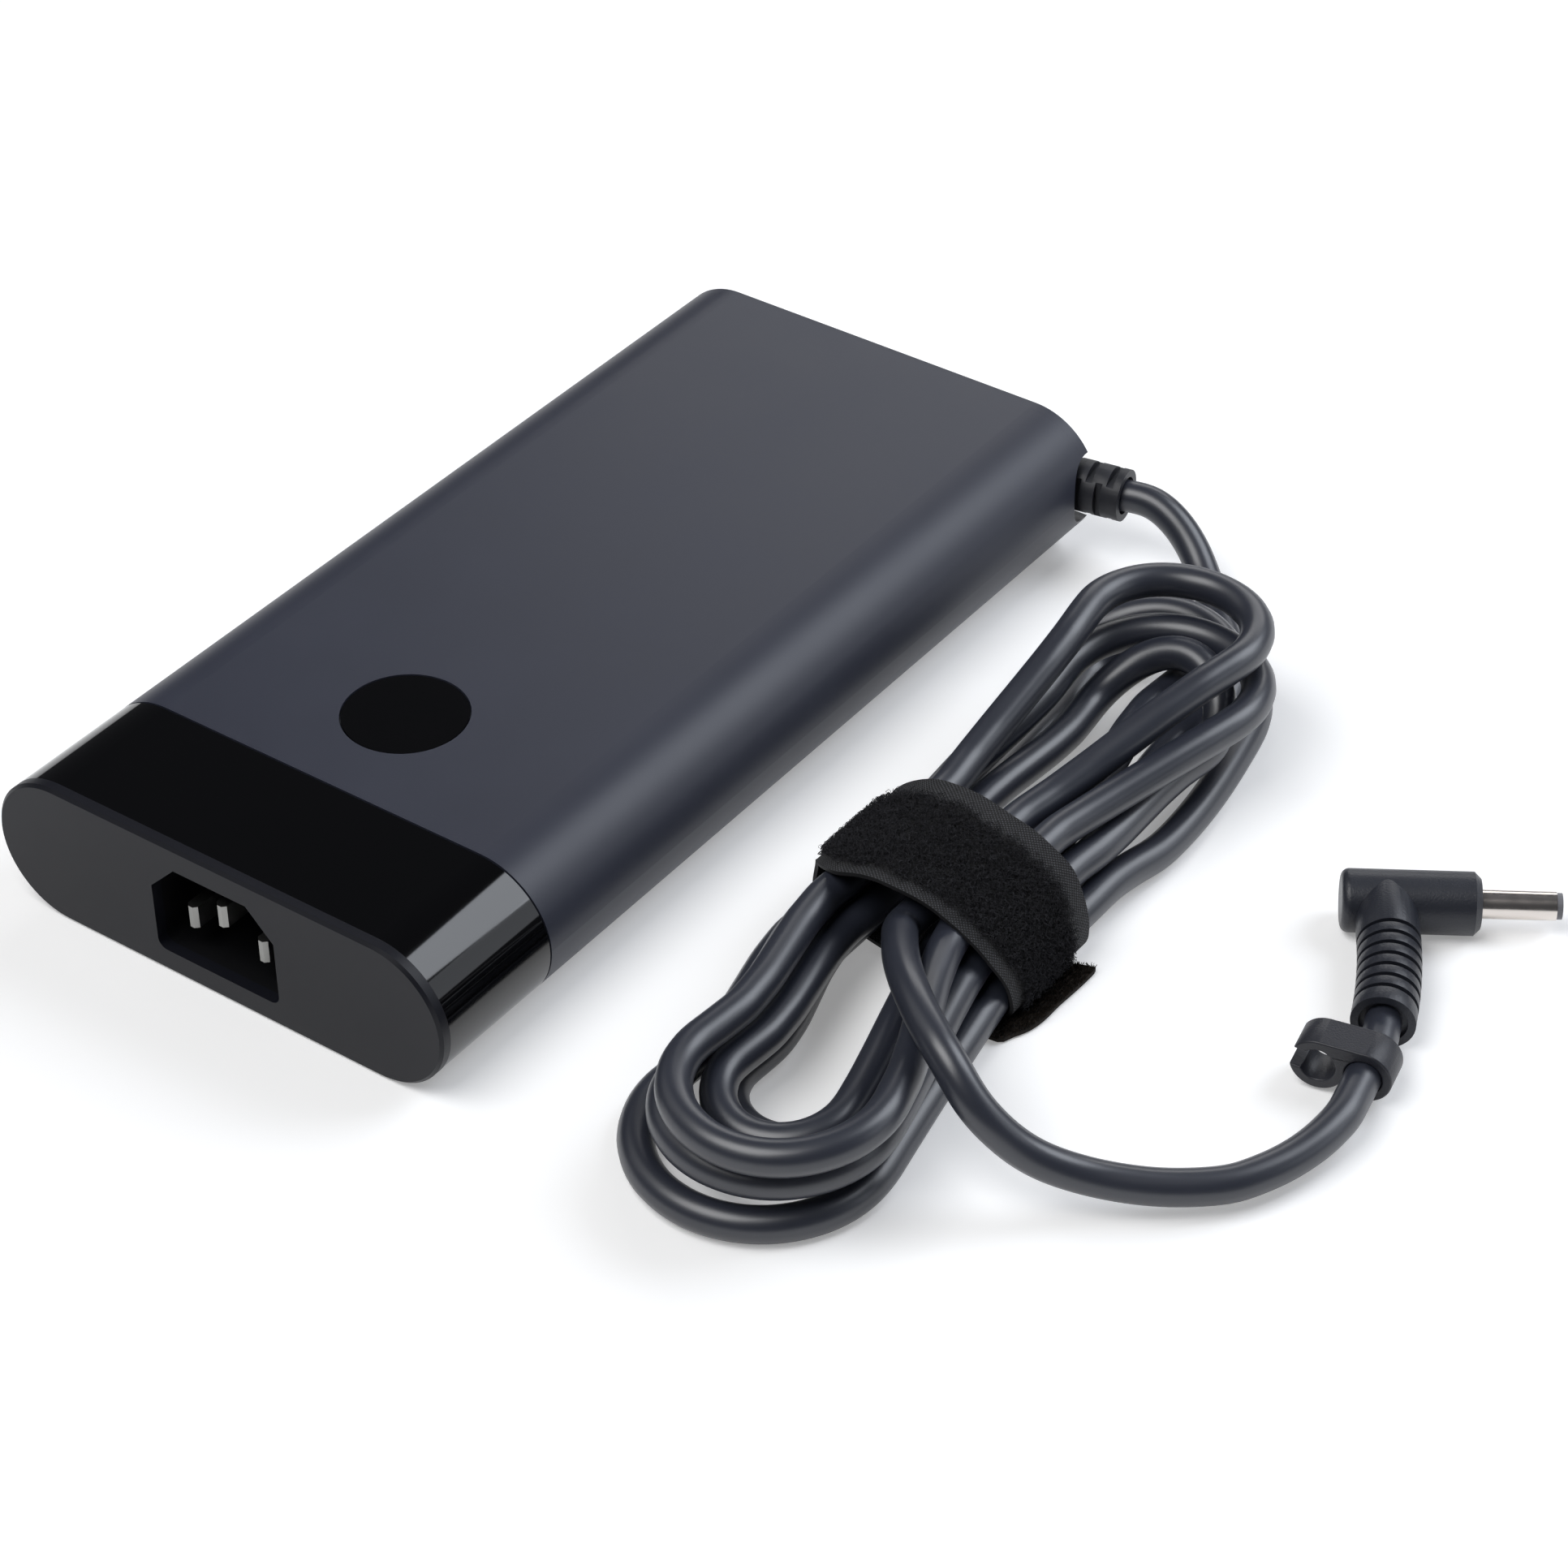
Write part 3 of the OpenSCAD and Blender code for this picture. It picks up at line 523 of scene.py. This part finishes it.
def edge_at(edge, p):
    """Where the band's edge lies, along the case, at a place of its section."""
    under = p.y < ROW[0]
    spans = [(edge[0], edge[-1])] if under else zip(edge, edge[1:])
    x = min(max(p.x, edge[0][0]), edge[-1][0])
    for (x0, y0), (x1, y1) in spans:
        if x <= x1:
            return y0 + (y1 - y0) * (x - x0) / (x1 - x0)


def strap_edges(line):
    """Front and back edge all round, softened, with a slow waver."""
    both = []
    count = len(line)
    reach = max(2, count // 60)
    around = range(-reach, reach + 1)
    for edge, phase in ((FRONT_EDGE, 0.7), (BACK_EDGE, 2.1)):
        run = [edge_at(edge, p) for p in line]
        soft = [sum(run[(i + k) % count] for k in around) / len(around)
                for i in range(count)]
        both.append([y + sum(far * math.sin(2 * math.pi * waves * i / count + phase)
                             for far, waves in WAVERS)
                     for i, y in enumerate(soft)])
    return both


def band_mesh(across=25, across_inside=6):
    """The band as a closed skin, with its weave's UV map and the pile's ground."""
    line, ways = strap_section((STRAP_IN + STRAP_OUT) / 2, STRAP_STEP)
    half = (STRAP_OUT - STRAP_IN) / 2
    # face (-1 inner, 1 outer) and share of the width, once round the band's own section
    rows = ([(-1, 0.0)] + [(1, f / across) for f in range(across + 1)]
            + [(-1, 1 - f / across_inside) for f in range(across_inside)])
    verts, faces, coords = [], [], []
    for i, (p, out, low, high) in enumerate(zip(line, ways, *strap_edges(line))):
        for side, f in rows:
            y = low + (high - low) * f
            q = p + half * side * out
            verts.append(Vector((q.x, y, q.y)) * MM)
            coords.append((STRAP_STEP * i, y - low, high - y))
    n = len(rows)
    for i in range(len(line)):
        k = (i + 1) % len(line)
        for j in range(n):
            m = (j + 1) % n
            faces.append((i * n + j, i * n + m, k * n + m, k * n + j))
    mesh = mesh_of("strap_band", verts, faces)
    layer = mesh.uv_layers.new(name="weave")
    for loop in mesh.loops:
        around, front, _ = coords[loop.vertex_index]
        layer.data[loop.index].uv = (around / WEAVE_UV, front / WEAVE_UV)
    ground = mesh.attributes.new("pile_ground", "FLOAT", "POINT")
    ground.data.foreach_set("value", [
        min(1, max(0, front - FRONT_RIM + PILE_FADE), max(0, back - BACK_RIM + PILE_FADE))
        for _, front, back in coords])
    mesh.polygons.foreach_set("use_smooth", [True] * len(mesh.polygons))
    mesh.set_sharp_from_angle(angle=math.radians(40))
    mesh.update()
    return mesh


# outline of the strap's free end, and its edge rings: how far in, and how high
TAIL_RIM = [(96.5, -29.2), (101.8, -29.2), (103.2, -26.9), (104.4, -24.2), (104.9, -21),
            (104.9, -17), (105.1, -13), (105.2, -9.5), (105.0, -7.0), (103.6, -7.2),
            (101.0, -8.2), (96.5, -9)]
TAIL_RINGS = [(0.0, 0.35), (0.0, 0.95), (0.25, 1.15)]


def tail_mesh(rim):
    """The strap's free end under the band, flat on the table."""
    verts, faces = [], []
    n = len(rim)
    middle = sum(rim, Vector()) / n
    for inset, z in TAIL_RINGS:
        for p in rim:
            q = p + (middle - p).normalized() * inset
            verts.append(Vector((q.x, q.y, z)) * MM)
    for r in range(len(TAIL_RINGS) - 1):
        for i in range(n):
            k = (i + 1) % n
            faces.append((r * n + i, r * n + k, (r + 1) * n + k, (r + 1) * n + i))
    faces.append([2 * n + i for i in range(n)])
    faces.append([n - 1 - i for i in range(n)])
    return mesh_of("strap_tail", verts, faces)


def strand(verts, faces, path, thick, sides=3):
    """One thin yarn along a path, as a narrow tube."""
    start = len(verts)
    side = Vector((0.31, 0.62, 0.72))
    for k, place in enumerate(path):
        way = path[min(k + 1, len(path) - 1)] - path[max(k - 1, 0)]
        side = (side - way * (side.dot(way) / max(way.length_squared, 1e-9))).normalized()
        top = side.cross(way.normalized())
        for s in range(sides):
            a = 2 * math.pi * s / sides
            verts.append((place + thick * (side * math.cos(a) + top * math.sin(a))) * MM)
    for k in range(len(path) - 1):
        for s in range(sides):
            n = (s + 1) % sides
            a0 = start + sides * k
            faces.append((a0 + s, a0 + n, a0 + sides + n, a0 + sides + s))


PILE_COUNT, PILE_SEED = 11500, 7
PILE_FROM = 1.6          # no pile under the band, below this height
PILE_POINTS = 8
PILE_LEAST, PILE_MORE = 0.25, 0.95
CURL = 0.1


def pile_mesh():
    """Curled loops of yarn standing on the band between its woven edges."""
    pick = random.Random(PILE_SEED)
    verts, faces = [], []
    line, ways = strap_section(STRAP_OUT, PILE_STEP)
    fronts, backs = strap_edges(line)
    standing = [i for i in range(len(line)) if line[i].y > PILE_FROM]
    for _ in range(PILE_COUNT):
        i = standing[pick.randrange(len(standing))]
        p, out = line[i], ways[i]
        low = fronts[i] + FRONT_RIM + pick.uniform(-0.35, 0.35)
        high = backs[i] - BACK_RIM + pick.uniform(-0.9, 0.9)
        place = Vector((p.x, pick.uniform(low, high), p.y))
        rising, round_band = Vector((out.x, 0, out.y)), Vector((-out.y, 0, out.x))
        a = pick.uniform(0, 2 * math.pi)
        turn = pick.choice((-1, 1)) * pick.uniform(0.45, 1.1)
        tall = PILE_LEAST + PILE_MORE * pick.random() ** 1.6
        step = pick.uniform(0.16, 0.34)
        path = []
        for k in range(PILE_POINTS):
            t = k / (PILE_POINTS - 1)
            rise = tall * math.sin(math.pi * (0.12 + 0.76 * t)) + CURL * math.sin(5 * t + a)
            path.append(place + rising * rise)
            place = place + (round_band * math.cos(a) + Vector((0, 1, 0)) * math.sin(a)) * step
            a += turn * (0.6 + 0.8 * pick.random())
        strand(verts, faces, path, pick.uniform(0.030, 0.052))
    return mesh_of("strap_pile", verts, faces)


HOOK_COUNT, HOOK_SEED = 2600, 11
HOOK_X, HOOK_Y, HOOK_FOOT = (99.5, 105.3), (-29.3, -7), 0.95


def inside(rim, p):
    """Whether a point lies within a closed outline, by counting its crossings."""
    hits = 0
    for a, b in zip(rim, rim[1:] + rim[:1]):
        if (a.y > p.y) != (b.y > p.y):
            hits += p.x < a.x + (b.x - a.x) * (p.y - a.y) / (b.y - a.y)
    return hits % 2


def hooks_mesh(rim):
    """Short stiff hooks all over the free end."""
    pick = random.Random(HOOK_SEED)
    verts, faces = [], []
    made = 0
    while made < HOOK_COUNT:
        foot = Vector((pick.uniform(*HOOK_X), pick.uniform(*HOOK_Y), HOOK_FOOT))
        if not inside(rim, foot):
            continue
        made += 1
        lean = Vector((pick.uniform(-0.1, 0.45), pick.uniform(-0.3, 0.3), 0))
        tall = pick.uniform(0.4, 0.95)
        path = [foot + lean * t * t + Vector((0, 0, tall * t)) for t in (0, 0.35, 0.7, 1)]
        strand(verts, faces, path, pick.uniform(0.035, 0.055))
    return mesh_of("strap_hooks", verts, faces)


THREAD = 0.62            # from thread to thread of the weave


def woven():
    """Woven edge of the strap: dark threads, with painted highlights on the tops of their
    crossings in patches of random strength.
    """
    finish = Finish("strap_weave", (0.012, 0.012, 0.014), 0.75)
    threads = [(finish.place("UV").part(axis) * WEAVE_UV * (2 * math.pi / THREAD)).sine()
               for axis in (0, 1)]
    crossing = threads[0] * threads[1] * 0.5 + 0.5
    glint_patches = finish.noise(0.9, 3) * 1.4
    ground = finish.node("ShaderNodeAttribute", {"attribute_name": "pile_ground"}, out=2)
    # painted highlight: the tops of the thread crossings are painted pale, in random patches,
    # and not under the pile
    light = (crossing ** 4) * glint_patches * (1 - ground)
    finish.set("Base Color", finish.mix(light, (0.0015, 0.0015, 0.002), (0.110, 0.112, 0.125)))
    finish.bump(crossing, 0.9, 0.25)
    return finish


def yarn(name, light, dark):
    """Dull fibre, lighter and darker from tuft to tuft."""
    finish = Finish(name, dark, 0.8, Specular_IOR_Level=0.2)
    finish.set("Base Color", finish.mix(finish.noise(0.45, 2) * 2.2 - 0.6, dark, light))
    return finish


def strap_piece(name, mesh, finish):
    piece = add(name, mesh)
    piece.data.materials.append(finish.material)
    return piece


tail_rim = curve_through([Vector((*p, 0)) for p in TAIL_RIM], 3)
PILE = yarn("pile_yarn", (0.034, 0.034, 0.039), (0.0015, 0.0015, 0.002))
HOOKS = yarn("hook_yarn", (0.022, 0.015, 0.010), (0.004, 0.004, 0.004))
strap_band = strap_piece("strap_band", band_mesh(), woven())
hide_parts("tie_strap")
strap_piece("strap_pile", pile_mesh(), PILE)
strap_piece("strap_tail", tail_mesh(tail_rim), HOOKS)
strap_piece("strap_hooks", hooks_mesh(tail_rim), HOOKS)

# ---------- floor, in metres
FLOOR_HALF = 4
FLOOR_GLOW = 0.27                       # seen and mirrored near the part
WHITE_FROM, WHITE_AT, WHITE_GLOW = 0.35, 1.5, 0.8


def floor_finish():
    """White floor: it keeps the shadow near the part, and is plain white far out."""
    finish = Finish("white_floor", (0.86, 0.86, 0.86), 0.7)
    camera = finish.node("ShaderNodeLightPath", out="Is Camera Ray")
    glossy = finish.node("ShaderNodeLightPath", out="Is Glossy Ray")
    reach = finish.node("ShaderNodeVectorMath", {"operation": "LENGTH"},
                        {0: finish.place()}, out="Value")
    away = finish.node("ShaderNodeMapRange", None, {
        "Value": reach, "From Min": WHITE_FROM, "From Max": WHITE_AT})
    glow = (camera + glossy) * FLOOR_GLOW + camera * away * WHITE_GLOW
    finish.set("Emission Color", finish.mix(glow, (0, 0, 0), (1, 1, 1)))
    finish.set("Emission Strength", 1.0)
    return finish


corners = [(x * FLOOR_HALF, y * FLOOR_HALF, 0) for x, y in ((-1, -1), (1, -1), (1, 1), (-1, 1))]
floor = add("floor", mesh_of("floor", corners, [(0, 1, 2, 3)]), body=None)
floor.data.materials.append(floor_finish().material)

# ---------- lamps, in metres and watts: place, width, height, power, colour
AIM = Vector((0.04, 0, 0))
PLAIN, COOL = (1, 1, 1), (0.93, 0.975, 1.05)
LAMPS = {
    "overhead_softbox": ((-0.15, -0.55, 1.10), 0.9, 0.7, 10.6, PLAIN),
    "right_softbox": ((0.54, 0.76, 0.86), 0.7, 0.7, 7.2, COOL),
    "right_panel": ((1.00, 0.66, 0.42), 1.0, 0.5, 1.8, COOL),
    "back_strip": ((-0.42, 1.12, 0.60), 0.9, 0.35, 2.8, PLAIN),
    "left_softbox": ((-0.95, -0.10, 0.70), 0.6, 0.8, 0.8, PLAIN)}


def area_lamp(name, place, width, height, power, color):
    data = bpy.data.lights.new(name, "AREA")
    data.shape, data.size, data.size_y = "RECTANGLE", width, height
    data.energy, data.color = power, color
    lamp = bpy.data.objects.new(name, data)
    lamp.location = place
    lamp.rotation_euler = (AIM - Vector(place)).to_track_quat("-Z", "Y").to_euler()
    bpy.context.scene.collection.objects.link(lamp)


for name, settings in LAMPS.items():
    area_lamp(name, *settings)

# ---------- surround
SURROUND = (0.0564, 0.0582, 0.0630, 1)


def studio_world():
    """A dim cool surround, seen as white behind the floor."""
    world = bpy.data.worlds.new("studio")
    world.use_nodes = True
    tree = world.node_tree
    seen = tree.nodes.new("ShaderNodeLightPath")
    shade = tree.nodes.new("ShaderNodeMix")
    shade.data_type = "RGBA"
    shade.inputs[6].default_value = SURROUND
    shade.inputs[7].default_value = (1, 1, 1, 1)
    tree.links.new(seen.outputs["Is Camera Ray"], shade.inputs[0])
    tree.links.new(shade.outputs[2], tree.nodes["Background"].inputs[0])
    bpy.context.scene.world = world


studio_world()
bpy.context.scene.view_settings.view_transform = "Standard"
